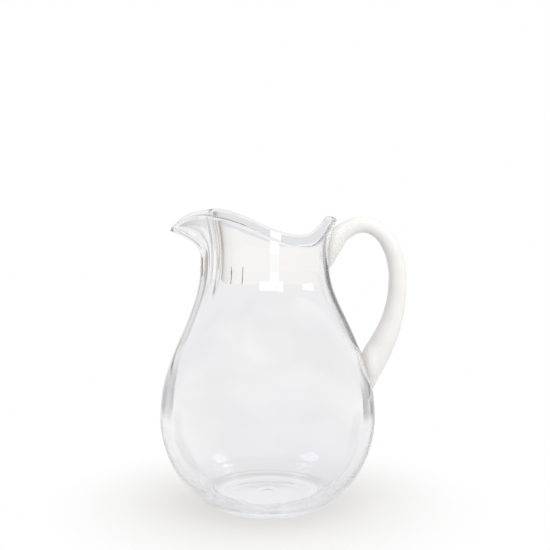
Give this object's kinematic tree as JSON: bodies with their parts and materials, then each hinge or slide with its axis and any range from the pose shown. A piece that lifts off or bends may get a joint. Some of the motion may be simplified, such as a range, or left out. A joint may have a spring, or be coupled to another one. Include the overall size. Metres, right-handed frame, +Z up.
{
  "type": "glass jug with handle",
  "caption": "Pear-shaped clear glass jug with a wavy rim, a drawn pouring lip and an applied white glass handle.",
  "frame": {"origin": "middle of the flat foot, on the body's vertical axis", "axes": "+Z up, +X from the axis towards the handle, so the pouring lip points to -X; +Y completes the frame"},
  "size_m": [0.1809, 0.158, 0.2172],
  "materials": {
    "clear_glass": "clear, blown and fire-polished",
    "white_glass": "opaque warm white, polished"
  },
  "bodies": {
    "root": {"vessel": "clear_glass", "handle": "white_glass"}
  },
  "joints": []
}
